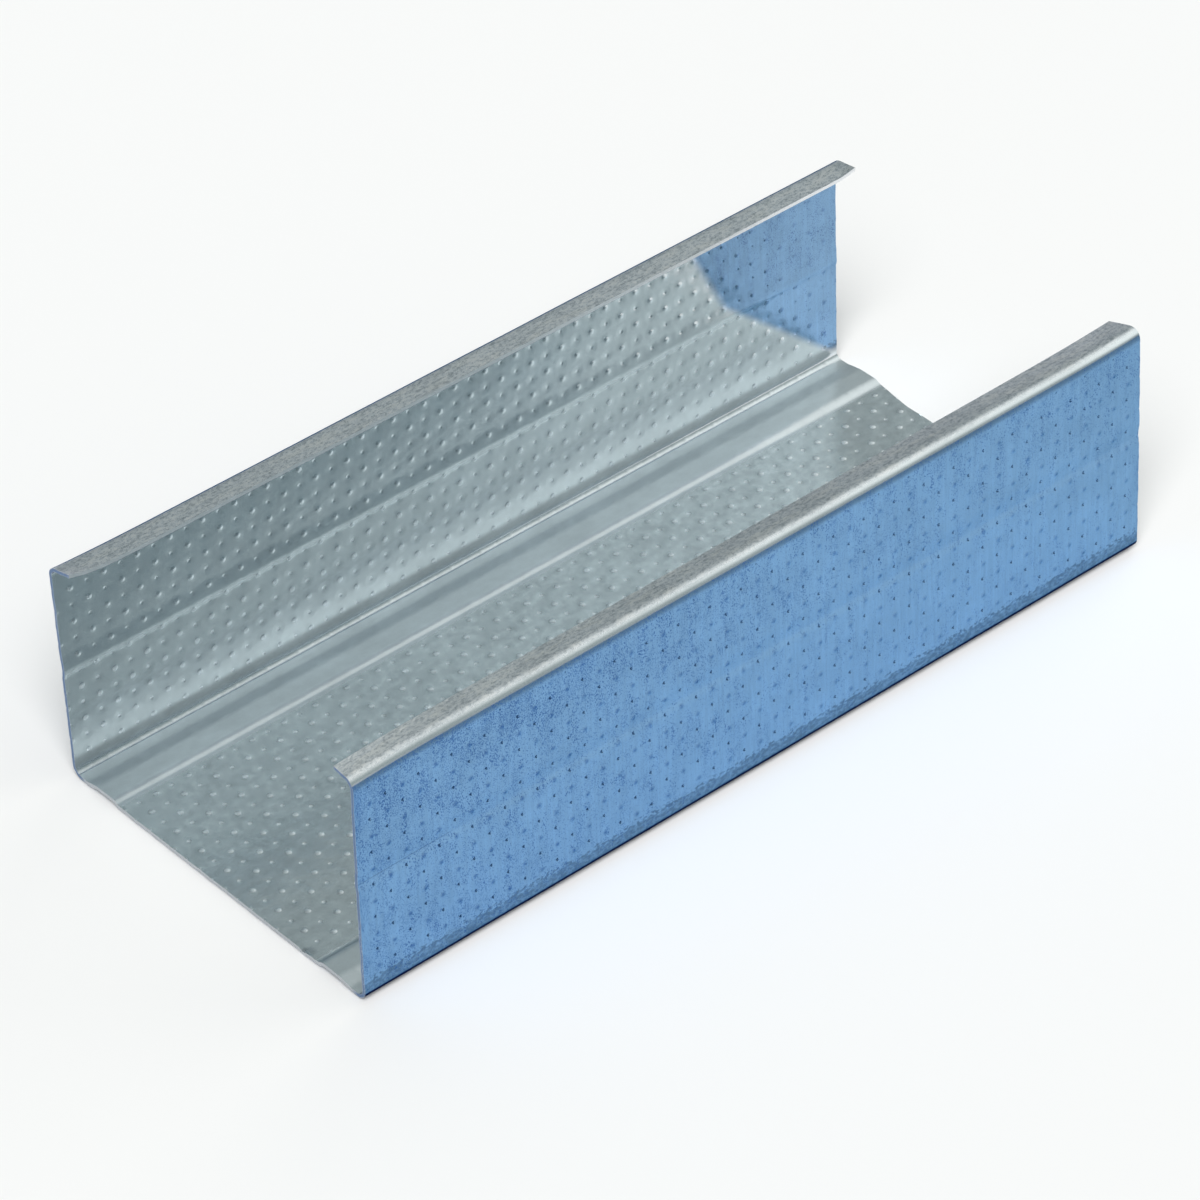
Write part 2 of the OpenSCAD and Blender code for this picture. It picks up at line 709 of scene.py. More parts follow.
def knurl(graph: Graph, blank: Blank, sizes: Mapping[str, Term], place: tuple[Term, Term, Term]) -> Dimple:
    """Writes the arithmetic of the dimples, for the rolled mesh and for the zinc's bump alike.

    Args:
        graph: Where the nodes go.
        blank: The flat strip that the dimples are in.
        sizes: The lattice's sizes, by the names that DimplePattern gives them.
        place: The point's distances along, across and out of the middle of the sheet.

    Returns:
        The dimple that the point is on.
    """
    along, across, depth = place
    pattern, pitch = blank.pattern, sizes["Pitch"]
    shift = graph.choose(across < -blank.web_edge, pattern.rear_shift, pattern.front_shift)
    row_place = (across - shift) / pitch
    column_place = (along - blank.left) / pitch
    row, column = graph.math("ROUND", row_place), graph.math("ROUND", column_place)
    away = graph.vector("LENGTH", graph.compose(row_place - row, column_place - column, 0.0)) * pitch
    inward = graph.math("FLOORED_MODULO", row + column, 2.0) * 2.0 - 1.0
    raised = inward * depth > 0.0

    def bell(radius: Term) -> Term:
        """Falls from 1 at the dimple's middle to 0 at a radius."""
        turn = graph.math("DIVIDE", away, radius, clamp=True) * math.pi
        return graph.math("COSINE", turn) * 0.5 + 0.5

    outer = depth < 0.0
    struck_r = graph.choose(outer, sizes["Dent Radius"], sizes["Pit Radius"])
    struck_depth = graph.choose(outer, sizes["Dent Depth"], sizes["Pit Depth"])
    core = bell(graph.choose(raised, struck_r, sizes["Pimple Radius"]))
    past = past_lip(graph, blank, across)
    margin = pattern.bend_margin
    on_rib = graph.band(abs(across), blank.rib_start - margin, blank.flange_foot + margin, margin)
    on_bend = graph.band(past, -blank.lip_bend - margin / 2, 0.0, margin)
    on_lip = graph.ramp(past, -0.5 * blank.lip_bend, 0.0)
    to_end = graph.math("MINIMUM", along - blank.left, blank.left + blank.length - along)
    at_end = 1.0 - graph.ramp(to_end, 0.0, pattern.end_margin)
    free = 1.0 - graph.ramp(past, blank.lip_flat - pattern.edge_margin, blank.lip_flat)
    fade = (
        graph.choose(on_rib, 1.0, pattern.rib_share)
        * graph.choose(on_bend, 1.0, pattern.rib_share)
        * graph.choose(on_lip, 1.0, pattern.lip_share)
        * graph.choose(at_end, 1.0, pattern.end_share)
        * free
    )
    swell = core * graph.choose(raised, struck_depth, sizes["Pimple Height"])
    swell = swell + bell(sizes["Skirt Radius"]) * sizes["Skirt Depth"]
    return Dimple(inward * fade * swell, core * fade, raised)


@dataclass(frozen=True)
class FlangeGive:
    """How far one flange's top stands out of true, in +Y: over its length and at its two ends."""

    lean: float
    twist: float
    left_flare: float
    right_flare: float


@dataclass(frozen=True)
class Springing:
    """How far the rolled piece is out of true once it has left the rolls and the saw."""

    front: FlangeGive = FlangeGive(-0.22 * MM, 0.30 * MM, -0.47 * MM, 0.41 * MM)
    rear: FlangeGive = FlangeGive(-0.16 * MM, -0.13 * MM, 0.45 * MM, 0.0)
    flare_length: float = 18 * MM
    front_lip_rise: float = 0.45 * MM
    front_lip_droop: float = 1.8 * MM
    front_lip_short: float = 1.1 * MM
    front_lip_long: float = 1.4 * MM
    lip_bow: float = 1.3
    left_curl: float = 1.0 * MM
    left_curl_length: float = 8 * MM
    right_curl: float = 0.55 * MM
    right_curl_length: float = 4 * MM
    wave: float = 0.05 * MM
    wave_size: float = 26 * MM
    trim_length: float = 1.5 * MM
    ragged: float = 0.10 * MM
    ragged_size: float = 3.5 * MM
    ragged_change: float = 10.0
    web_short: float = 1.0 * MM
    short_full: float = 15 * MM
    short_gone: float = 25 * MM
    burr_place: float = -20.1 * MM
    burr_width: float = 0.9 * MM
    burr_drop: float = 0.5 * MM


class RollForming:
    """The geometry node trees that repeat, knurl, roll and spring the blank.

    Args:
        blank: The blank whose column is repeated.
        springing: How far the piece is out of true.
    """

    PROBE = 0.03 * MM
    SOFT_PROBE = 0.45 * MM
    WELD = 0.002 * MM

    def __init__(self, blank: Blank, springing: Springing) -> None:
        self.blank = blank
        self.springing = springing
        self.place = self._place_group()
        self.tree = self._main_tree()

    def _place_group(self) -> bpy.types.NodeTree:
        """Group that tells where a point of the flat blank ends up on the rolled piece.

        Returns:
            The group.
        """
        inputs = [("Section", GEOMETRY), ("Along", FLOAT), ("Across", FLOAT), ("Depth", FLOAT)]
        inputs += [("Relief", FLOAT, 1.0), *self.blank.pattern.sockets()]
        graph = new_group("rolled place", "GeometryNodeTree", inputs, [("Position", VECTOR)])
        given = graph.given()
        along, across, depth = given["Along"], given["Across"], given["Depth"]
        push = knurl(graph, self.blank, given, (along, across, depth)).push * given["Relief"]
        sample = graph.add(
            "GeometryNodeSampleCurve",
            {"Curves": given["Section"], "Length": across - self.blank.front_edge},
            mode="LENGTH",
            use_all_curves=True,
        )
        on_line = graph.terms(sample)
        inward = graph.vector("CROSS_PRODUCT", (1.0, 0.0, 0.0), on_line["Tangent"])
        wave = graph.noise(graph.compose(along, across, 0.0), self.springing.wave_size, 1.0)
        offset = depth + push + (wave - 0.5) * (self.springing.wave * 2)
        rolled = graph.vector("ADD", on_line["Position"], graph.scaled(inward, offset))
        graph.give("Position", self._sprung(graph, rolled, along, across))
        return graph.tree

    def _sprung(self, graph: Graph, rolled: Term, along: Term, across: Term) -> Term:
        """Moves a rolled point out of true.

        Args:
            graph: Where the nodes go.
            rolled: The point on the true section.
            along: Its distance along the blank.
            across: Its distance across the blank.

        Returns:
            The point on the sprung piece.
        """
        blank, give = self.blank, self.springing
        profile = blank.profile
        _, y, z = graph.split(rolled)
        rear = across > 0.0
        from_left, from_right = along - blank.left, blank.left + blank.length - along
        middle = along / (blank.length / 2)

        def closeness(distance: Term, reach: float) -> Term:
            """Rises from 0 at a reach from an end to 1 at the end itself."""
            return graph.math("SUBTRACT", 1.0, distance / reach, clamp=True)

        def squared(value: Term) -> Term:
            """The square of a number."""
            return value * value

        def either(name: str) -> Term:
            """One of the front flange's numbers, or the rear one's."""
            return graph.choose(rear, getattr(give.front, name), getattr(give.rear, name))

        height = graph.choose(rear, profile.front_height, profile.rear_height)
        rise = graph.math("DIVIDE", z, height, clamp=True)
        left = squared(closeness(from_left, give.flare_length))
        right = squared(closeness(from_right, give.flare_length))
        flare = left * either("left_flare") + right * either("right_flare")
        sideways = (middle * either("twist") + either("lean")) * rise + flare * squared(rise)

        half_bend = blank.lip_bend / 2
        past = past_lip(graph, blank, across)
        on_lip = graph.math("DIVIDE", past + half_bend, blank.lip_flat + half_bend, clamp=True)
        on_lip = graph.math("POWER", on_lip, give.lip_bow)
        to_right = middle * 0.5 + 0.5
        front_lift = graph.choose(to_right, give.front_lip_rise, -give.front_lip_droop)
        curl = squared(closeness(from_left, give.left_curl_length)) * give.left_curl
        curl = curl + squared(closeness(from_right, give.right_curl_length)) * give.right_curl
        lift = on_lip * graph.choose(rear, front_lift, curl)
        slide = graph.choose(to_right, -give.front_lip_short, give.front_lip_long) * on_lip * (1.0 - rear)

        at_left, at_right = closeness(from_left, give.trim_length), closeness(from_right, give.trim_length)
        burr = closeness(abs(across - give.burr_place), give.burr_width) * squared(at_left) * -give.burr_drop
        place = graph.compose(across, along * give.ragged_change, 0.0)
        uneven = (graph.noise(place, give.ragged_size) - 0.5) * (give.ragged * 2)
        uneven = uneven + abs(blank.pattern.column_shift)
        on_web = 1.0 - graph.ramp(abs(across), give.short_full, give.short_gone)
        shift = at_left * uneven - at_right * (uneven + on_web * give.web_short)
        return graph.compose(along + shift, y + sideways + slide, z + lift + burr)

    def _main_tree(self) -> bpy.types.NodeTree:
        """Tree of the modifier: repeats the column, closes the ends, rolls and dresses the piece.

        Returns:
            The tree.
        """
        inputs = [("Geometry", GEOMETRY)]
        inputs += [("Column", OBJECT), ("End", OBJECT), ("Section", OBJECT)]
        inputs += [("Skin Finish", MATERIAL), ("Cut Finish", MATERIAL)]
        inputs += [("Columns", "NodeSocketInt", self.blank.pattern.columns), *self.blank.pattern.sockets()]
        graph = new_group("roll forming", "GeometryNodeTree", inputs, [("Geometry", GEOMETRY)])
        given = graph.given()
        flat = self._flat_blank(graph, given)
        section = graph.read("GeometryNodeObjectInfo", {"Object": given["Section"]}, "Geometry")
        along, across, depth = graph.split(graph.read("GeometryNodeInputPosition"))

        def placed(relief: float, step_along: float = 0.0, step_across: float = 0.0) -> Term:
            """The rolled place of the point, or of one a small step away on the blank.

            Args:
                relief: Share of the dimples' height.
                step_along: Step along the blank.
                step_across: Step across it.

            Returns:
                The place.
            """
            values = {name: given[name] for name in self.blank.pattern.sizes()}
            values |= {"Section": section, "Depth": depth, "Relief": relief}
            values |= {"Along": along + step_along, "Across": across + step_across}
            return graph.read("GeometryNodeGroup", values, node_tree=self.place)

        def slope(step_along: float, step_across: float) -> Term:
            """Difference between the places of the plain sheet a step ahead and a step behind."""
            ahead, behind = placed(0.0, step_along, step_across), placed(0.0, -step_along, -step_across)
            return graph.vector("SUBTRACT", ahead, behind)

        upright = graph.vector("CROSS_PRODUCT", slope(self.PROBE, 0.0), slope(0.0, self.SOFT_PROBE))
        facing = graph.scaled(graph.vector("NORMALIZE", upright), graph.math("SIGN", depth))
        kept = {"facing": facing, "strip": graph.compose(along, across, depth), "rolled": placed(1.0)}
        mesh = flat
        for name, value in kept.items():
            mesh = graph.store(mesh, name, value)
        place = {"Geometry": mesh, "Position": graph.recall("rolled", "FLOAT_VECTOR")}
        mesh = graph.read("GeometryNodeSetPosition", place)
        mesh = graph.read("GeometryNodeRemoveAttribute", {"Geometry": mesh, "Name": "rolled"})
        skin = {"Geometry": mesh, "Material": given["Skin Finish"]}
        mesh = graph.read("GeometryNodeSetMaterial", skin)
        edges = {"Geometry": mesh, "Material": given["Cut Finish"]}
        edges["Selection"] = graph.recall("cut", "BOOLEAN")
        graph.give("Geometry", graph.read("GeometryNodeSetMaterial", edges))
        return graph.tree

    def _flat_blank(self, graph: Graph, given: Mapping[str, Term]) -> Term:
        """The flat blank: its columns side by side and its two cut ends, joined to one mesh.

        Args:
            graph: Where the nodes go.
            given: The modifier's inputs.

        Returns:
            The mesh.
        """
        left, pitch = self.blank.left, given["Pitch"]
        start = (left, 0.0, 0.0)
        row = {"Count": given["Columns"], "Start Location": start, "Offset": graph.compose(pitch, 0.0, 0.0)}
        line = graph.read("GeometryNodeMeshLine", row, mode="OFFSET")
        column, end = (
            graph.read("GeometryNodeObjectInfo", {"Object": given[name]}, "Geometry")
            for name in ("Column", "End")
        )
        repeat = graph.read("GeometryNodeInstanceOnPoints", {"Points": line, "Instance": column})
        near = graph.read("GeometryNodeTransform", {"Geometry": end, "Translation": start})
        reach = graph.compose(given["Columns"] * pitch + left, 0.0, 0.0)
        far = graph.read("GeometryNodeTransform", {"Geometry": end, "Translation": reach})
        turned = graph.read("GeometryNodeFlipFaces", {"Mesh": far})
        joined = graph.add("GeometryNodeJoinGeometry")
        for part in (turned, near, repeat):
            graph.feed(joined.inputs[0], part)
        whole = graph.read("GeometryNodeRealizeInstances", {"Geometry": Term(graph, joined.outputs[0])})
        return graph.read("GeometryNodeMergeByDistance", {"Geometry": whole, "Distance": self.WELD})


@dataclass
class StudBody:
    """The rolled piece itself, one closed mesh."""

    blank: Blank
    springing: Springing
    section_step: float = math.radians(2)

    def _section_curve(self) -> bpy.types.Object:
        """The middle line of the section as a curve in the plane across the stud.

        Returns:
            The curve's object.
        """
        stations = self.blank.profile.trace(self.section_step)
        curve = bpy.data.curves.new("section", "CURVE")
        curve.dimensions = "3D"
        spline = curve.splines.new("POLY")
        spline.points.add(len(stations) - 1)
        for point, station in zip(spline.points, stations):
            point.co = (0.0, station.across, station.up, 1.0)
        return _new_object("section", curve)

    def build(self, skin: bpy.types.Material, cut: bpy.types.Material) -> bpy.types.Object:
        """Makes the piece.

        Args:
            skin: The material of the sheet's two faces.
            cut: The material of its cut ends and free edges.

        Returns:
            The piece, with its modifier already applied.
        """
        forming = RollForming(self.blank, self.springing)
        helpers = {
            "Column": _new_object("blank_column", self.blank.column_mesh()),
            "End": _new_object("blank_end", self.blank.end_mesh()),
            "Section": self._section_curve(),
        }
        piece = _new_object("dimpled_stud", bpy.data.meshes.new("carrier"))
        modifier = piece.modifiers.new("roll forming", "NODES")
        modifier.node_group = forming.tree
        settings = {**helpers, "Skin Finish": skin, "Cut Finish": cut}
        for item in forming.tree.interface.items_tree:
            if item.in_out == "INPUT" and item.name in settings:
                modifier[item.identifier] = settings[item.name]
        depsgraph = bpy.context.evaluated_depsgraph_get()
        mesh = bpy.data.meshes.new_from_object(piece.evaluated_get(depsgraph), depsgraph=depsgraph)
        mesh.name = "dimpled_stud"
        piece.modifiers.remove(modifier)
        piece.data = mesh
        for helper in helpers.values():
            bpy.data.objects.remove(helper)
        self._shade(mesh)
        return piece

    def _shade(self, mesh: bpy.types.Mesh) -> None:
        """Gives the skins the plain sheet's smooth normals and the cut metal flat ones, and lays the maps.

        Args:
            mesh: The rolled mesh.
        """
        facing, strip = (_numbers(mesh.attributes[name].data, "vector", 3) for name in ("facing", "strip"))
        corner_point = _numbers(mesh.loops, "vertex_index", kind=np.int32)
        totals = _numbers(mesh.polygons, "loop_total", kind=np.int32)
        owner = np.repeat(np.arange(len(totals)), totals)
        flat = _numbers(mesh.polygons, "normal", 3)[owner]
        is_cut = _numbers(mesh.attributes["cut"].data, "value", kind=bool)[owner]
        normals = np.where(is_cut[:, None], flat, facing[corner_point])
        mesh.polygons.foreach_set("use_smooth", np.ones(len(totals), bool))
        mesh.normals_split_custom_set(normals.astype(np.float32))
        layer = mesh.uv_layers.new(name=BAKE_MAP)
        layer.data.foreach_set("uv", self._laid_out(strip[corner_point], flat, is_cut).ravel())
        for name in ("facing", "cut"):
            mesh.attributes.remove(mesh.attributes[name])

    def _laid_out(self, strip: np.ndarray, flat: np.ndarray, is_cut: np.ndarray) -> np.ndarray:
        """Lays the skins side by side on a square, and the cut ends and free edges in slim bands.

        Args:
            strip: Place of each face corner on the blank.
            flat: Normal of each corner's face.
            is_cut: True for a corner of cut metal.

        Returns:
            The map's two coordinates for each face corner.
        """
        blank, margin, band, fill = self.blank, 0.004, 0.012, 0.6
        room = 1.0 - 2 * (band + margin)
        u = (strip[:, 0] - blank.left) / blank.length
        v = (strip[:, 1] - blank.front_edge) / (blank.rear_edge - blank.front_edge)
        w = (strip[:, 2] / blank.profile.sheet + 0.5) * fill
        is_outer = strip[:, 2] < 0
        skin = np.stack([(u + is_outer) / 2 * (1 - 2 * margin) + margin, v], axis=1)
        skin[:, 0] += np.where(is_outer, margin, -margin)
        skin = skin * (room - 2 * margin) + margin
        end_band = np.where(flat[:, 0] > 0, 0.0, 1.0)
        edge_band = np.where(strip[:, 1] > 0, 0.0, 1.0)
        start = room + margin
        end = np.stack([start + (end_band + w) * band, v * room + margin], axis=1)
        edge = np.stack([u * room + margin, start + (edge_band + w) * band], axis=1)
        is_end = np.abs(flat[:, 0]) > 0.5
        return np.where(is_cut[:, None], np.where(is_end[:, None], end, edge), skin)


def _numbers(
    items: bpy.types.bpy_prop_collection, name: str, width: int = 1, kind: type = np.float32
) -> np.ndarray:
    """Reads one property of many items into an array, one row for each item.

    Args:
        items: The items.
        name: The property's name.
        width: How many numbers it holds.
        kind: The type of the numbers.

    Returns:
        The array.
    """
    found = np.empty(len(items) * width, kind)
    items.foreach_get(name, found)
    return found.reshape(-1, width) if width > 1 else found


@dataclass(frozen=True)
class Grain:
    """Size of a cloudy grain's clouds along and across the sheet, and a shift that sets it apart."""

    along: float
    across: float
    shift: float = 0.0

    def sizes(self) -> dict[str, float]:
        """The grain's sizes, under the names that its group gives its sockets."""
        return {"Along": self.along, "Across": self.across, "Shift": self.shift}


class Effects:
    """The surface effects that the finishes share, each one a shader node group.

    Args:
        blank: The blank whose dimples and lips the effects follow.
    """

    def __init__(self, blank: Blank) -> None:
        self.blank = blank
        self.knurl = self._knurl()
        self.grain = self._grain()
        self.specks = self._specks()
        self.scratches = self._scratches()

    def _knurl(self) -> bpy.types.NodeTree:
        """Group of the dimples: their height off the sheet, and how near a dimple's core a point is.

        Returns:
            The group.
        """
        inputs = [("Strip", VECTOR), *self.blank.pattern.sockets()]
        outputs = [("Height", FLOAT), ("Core", FLOAT), ("Raised", FLOAT)]
        graph = new_group("knurl relief", "ShaderNodeTree", inputs, outputs)
        given = graph.given()
        place = graph.split(given["Strip"])
        dimple = knurl(graph, self.blank, given, place)
        graph.give("Height", dimple.push * graph.math("SIGN", place[2]))
        graph.give("Core", dimple.core)
        graph.give("Raised", dimple.raised)
        return graph.tree

    def _grain(self) -> bpy.types.NodeTree:
        """Group of a cloudy grain, drawn out along or across the sheet.

        Returns:
            The group.
        """
        inputs = [("Strip", VECTOR), ("Shift", FLOAT)]
        inputs += [("Along", FLOAT, 0.3 * MM), ("Across", FLOAT, 0.3 * MM)]
        graph = new_group("sheet grain", "ShaderNodeTree", inputs, [("Value", FLOAT)])
        given = graph.given()
        moved = graph.vector("ADD", given["Strip"], graph.compose(given["Shift"], given["Shift"], 0.0))
        place = graph.vector("DIVIDE", moved, graph.compose(given["Along"], given["Across"], 0.4 * MM))
        graph.give("Value", graph.noise(place, 1.0, 3.0, 0.6))
        return graph.tree

    def _specks(self) -> bpy.types.NodeTree:
        """Group of fine specks that gather in patches.

        Returns:
            The group.
        """
        inputs = [("Strip", VECTOR), ("Along", FLOAT, 0.2 * MM), ("Across", FLOAT, 0.2 * MM)]
        inputs += [("Patch Along", FLOAT, 5 * MM), ("Patch Across", FLOAT, 10 * MM), ("Cover", FLOAT, 0.5)]
        graph = new_group("gathered specks", "ShaderNodeTree", inputs, [("Mask", FLOAT)])
        given = graph.given()
        size = graph.compose(given["Along"], given["Across"], 0.2 * MM)
        place = graph.vector("DIVIDE", given["Strip"], size)
        cells = graph.terms(graph.add("ShaderNodeTexVoronoi", {"Vector": place, "Scale": 1.0}))
        patches = graph.compose(given["Patch Along"], given["Patch Across"], 1.0)
        patch = graph.noise(graph.vector("DIVIDE", given["Strip"], patches), 1.0, 3.0, 0.65)
        patch_contrast, unevenness, widest = 2.4, 0.6, 0.62
        cover = (patch - 0.5) * patch_contrast + given["Cover"]
        own = graph.split(cells["Color"])[0]
        radius = graph.math("SUBTRACT", cover, own * unevenness, clamp=True) * widest
        graph.give("Mask", graph.ramp(cells["Distance"], radius, radius * 0.5))
        return graph.tree

    def _scratches(self) -> bpy.types.NodeTree:
        """Group of thin scratches that run down the length of the stud.

        Returns:
            The group.
        """
        inputs = [("Strip", VECTOR), ("Length", FLOAT, 12 * MM)]
        inputs += [("Width", FLOAT, 0.12 * MM), ("Cover", FLOAT, 0.3)]
        graph = new_group("long scratches", "ShaderNodeTree", inputs, [("Mask", FLOAT)])
        given = graph.given()
        along, across, depth = graph.split(given["Strip"])
        fine = graph.noise(graph.compose(along / given["Length"], across / given["Width"], depth), 1.0, 1.0)
        bare_level, fall, soft = 0.86, 0.3, 0.06
        level = bare_level - given["Cover"] * fall
        graph.give("Mask", graph.ramp(fine, level, level + soft))
        return graph.tree


def new_material(name: str) -> tuple[bpy.types.Material, Graph, Mapping[str, bpy.types.NodeSocket]]:
    """Makes a material with one Principled shader.

    Args:
        name: The material's name.

    Returns:
        The material, its graph and its shader's inputs.
    """
    material = bpy.data.materials.new(name)
    material.use_nodes = True
    tree = material.node_tree
    return material, Graph(tree), tree.nodes["Principled BSDF"].inputs


def effect(graph: Graph, group: bpy.types.NodeTree, **inputs: object) -> dict[str, Term]:
    """Places a shared effect in a material.

    Args:
        graph: The material's graph.
        group: The effect.
        inputs: Its inputs, by their names with underscores for spaces.

    Returns:
        The effect's outputs.
    """
    named = {name.replace("_", " "): value for name, value in inputs.items()}
    return graph.terms(graph.add("ShaderNodeGroup", named, node_tree=group))


class SheetPlace:
    """Where a point of the sheet is: its distances on the blank, and masks of what it lies on.

    Args:
        graph: The material's graph.
        effects: The shared surface effects.
    """

    RIB_FADE = 2.2 * MM

    def __init__(self, graph: Graph, effects: Effects) -> None:
        blank = effects.blank
        self.graph, self.effects = graph, effects
        self.strip = graph.read("ShaderNodeAttribute", output="Vector", attribute_name="strip")
        self.along, self.across, self.depth = graph.split(self.strip)
        self.past_lip = past_lip(graph, blank, self.across)
        self.below_lip = -blank.lip_bend - self.past_lip
        from_middle = abs(self.across)
        self.above_foot = from_middle - blank.flange_foot
        self.from_left = self.along - blank.left
        self.outer = self.depth < 0.0
        self.rear = self.across > 0.0
        self.on_lip = graph.ramp(self.past_lip, -0.6 * blank.lip_bend, 0.1 * MM)
        self.inner = (1.0 - self.outer) * (1.0 - self.on_lip)
        self.on_web = from_middle < blank.rib_start
        self.on_rib = graph.band(from_middle, blank.rib_start, blank.flange_foot - self.RIB_FADE, 0.6 * MM)

    def grain(self, grain: Grain) -> Term:
        """A cloudy grain of that size."""
        return effect(self.graph, self.effects.grain, Strip=self.strip, **grain.sizes())["Value"]


@dataclass(frozen=True)
class RolledZinc:
    """The sheet's two faces: bright zinc, a painted blue reflection on the outside, scuffed grey on the lips.
    """

    bright: Colour = shown(0.906, 0.936, 0.948)
    # Painted reflection: the blue of the outer faces is mirrored blue surroundings painted into the zinc's
    # colour.
    outside: Colour = shown(0.486, 0.646, 0.798)
    scuffed: Colour = shown(0.925, 0.940, 0.955)
    worn: Colour = shown(0.60, 0.63, 0.65)
    rubbed: Colour = shown(1.0, 1.0, 0.99)
    speck_and_shade: Colour = shown(0.25, 0.40, 0.61)
    pit_dirt_and_shade: Colour = shown(0.17, 0.31, 0.48)
    painted_foot_shadow: Colour = shown(0.045, 0.11, 0.29)
    crease_line: Colour = shown(0.26, 0.36, 0.48)
    grazing: Colour = shown(0.52, 0.57, 0.64)
    roughness: float = 0.21
    rib_roughness: float = 0.31
    lip_roughness: float = 0.35
    fine: Grain = Grain(0.16 * MM, 0.16 * MM)
    coarse: Grain = Grain(0.75 * MM, 0.42 * MM)
    cloudy: Grain = Grain(9 * MM, 6 * MM, 31 * MM)
    dapple: Grain = Grain(1.9 * MM, 1.4 * MM, 43 * MM)
    lengthwise: Grain = Grain(3.2 * MM, 0.45 * MM)
    patchy: Grain = Grain(5 * MM, 1.6 * MM, 17 * MM)
    upright: Grain = Grain(0.4 * MM, 9 * MM, 7 * MM)
    blotchy: Grain = Grain(0.8 * MM, 0.5 * MM)
    fine_height: float = 0.0010 * MM
    cloudy_height: float = 0.010 * MM
    dapple_height: float = 0.009 * MM
    web_dapple_height: float = 0.030 * MM
    lip_height: float = 0.011 * MM
    scratch_depth: float = 0.003 * MM
    front_reflection_end: float = -1.45 * MM
    rear_reflection_end: float = -0.35 * MM
    # Painted reflection: a blue patch inside the rear flange's far end, behind a slanting edge.
    patch_reflection_share: float = 0.93
    patch_reflection_low_start: float = 75.2 * MM
    patch_reflection_low_slope: float = 1.15
    patch_reflection_high_start: float = 62.1 * MM
    patch_reflection_high_slope: float = 0.5
    grit_coarseness: float = 0.55
    cloudy_shade: float = 0.25
    fine_shade: float = 0.16
    dapple_shade: float = 0.15
    web_dapple_shade: float = 0.42
    rear_lip_shade: float = 0.07
    painted_corner_shade: float = 0.34
    fine_roughness: float = 0.10
    coarse_roughness: float = 0.15
    core_roughness: float = 0.05
    low_core_roughness: float = 0.32
    low_core_full: float = 12 * MM
    low_core_gone: float = 19 * MM
    streak_shade: float = 0.35
    foot_unevenness: float = 4.5 * MM
    speck_share: float = 0.95
    pit_dirt_and_shade_share: float = 0.85
    right_share: float = 0.55
    crease_line_drop: float = 19.7 * MM
    crease_line_length: float = 20 * MM
    painted_foot_shadow_low: float = -1.9 * MM
    painted_foot_shadow_high: float = -0.40 * MM

    def build(self, effects: Effects) -> bpy.types.Material:
        """Makes the material.

        Args:
            effects: The shared surface effects.

        Returns:
            The material.
        """
        material, graph, shader = new_material("rolled_zinc")
        place = SheetPlace(graph, effects)
        relief = effect(graph, effects.knurl, Strip=place.strip)
        fine, coarse, cloudy, dapple = map(place.grain, (self.fine, self.coarse, self.cloudy, self.dapple))
        scratch = effect(
            graph, effects.scratches, Strip=place.strip, Length=14 * MM, Width=0.10 * MM, Cover=0.35
        )["Mask"]
        unmirrored = 1.0 - graph.read("ShaderNodeLightPath", output="Is Glossy Ray")

        grit = coarse * self.grit_coarseness + fine * (1.0 - self.grit_coarseness)
        base = self._lip_wear(place, grit)
        base = graph.blend(self._painted_reflection_mask(place, unmirrored), base, self._outside_reflection_colour(place, relief))
        dapple_shade = graph.choose(place.on_web, self.dapple_shade, self.web_dapple_shade)
        shade = (cloudy - 0.5) * self.cloudy_shade + (fine - 0.5) * self.fine_shade + 1.0
        shade = shade + (dapple - 0.5) * dapple_shade * place.inner
        shade = shade + place.rear * place.on_lip * self.rear_lip_shade
        # Painted shade: a dark band inside, just above the rear flange's bend; mirrored rays don't see it.
        shade = shade - self._corner_shade_mask(place) * unmirrored * self.painted_corner_shade
        graph.feed(shader["Base Color"], graph.shaded(base, shade))
        shader["Metallic"].default_value = 1.0
        shader["Specular Tint"].default_value = self.grazing

        rough = graph.choose(place.on_rib, self.roughness, self.rib_roughness)
        rough = graph.choose(place.on_lip, rough, self.lip_roughness)
        rough = rough + (fine - 0.5) * self.fine_roughness
        rough = rough + place.on_lip * (coarse - 0.5) * self.coarse_roughness
        low = graph.ramp(place.above_foot, self.low_core_gone, self.low_core_full) * place.inner
        core_roughness = graph.choose(low, self.core_roughness, self.low_core_roughness)
        graph.feed(shader["Roughness"], rough + relief["Core"] * core_roughness)

        dapple_height = graph.choose(place.on_web, self.dapple_height, self.web_dapple_height)
        height = relief["Height"] + fine * self.fine_height + cloudy * self.cloudy_height
        height = height + place.inner * dapple * dapple_height
        height = height + place.on_lip * (coarse * self.lip_height - scratch * self.scratch_depth)
        graph.feed(shader["Normal"], graph.read("ShaderNodeBump", {"Height": height, "Distance": 1.0}))
        return material

    def _corner_shade_mask(self, place: SheetPlace) -> Term:
        """Mask of the painted shade inside, just above the rear flange's bend.

        Args:
            place: Where the point is.

        Returns:
            The mask.
        """
        start = place.graph.ramp(place.above_foot, -0.6 * MM, 0.4 * MM)
        stop = place.graph.ramp(place.above_foot, 2.2 * MM, 0.9 * MM)
        return start * stop * place.inner * place.rear

    def _painted_reflection_mask(self, place: SheetPlace, unmirrored: Term) -> Term:
        """Mask of the painted blue reflection: the outside up to the lip bends, and a patch inside the rear
        flange's far end.

        Args:
            place: Where the point is.
            unmirrored: Is 0 in a mirrored ray, so that the painted reflection patch doesn't show again in the
                web.

        Returns:
            The mask.
        """
        graph = place.graph
        end = graph.choose(place.rear, self.front_reflection_end, self.rear_reflection_end)
        # Painted reflection on the outer faces, up to the lip bends.
        outside = place.outer * (1.0 - graph.ramp(place.past_lip, end - 0.3 * MM, end))
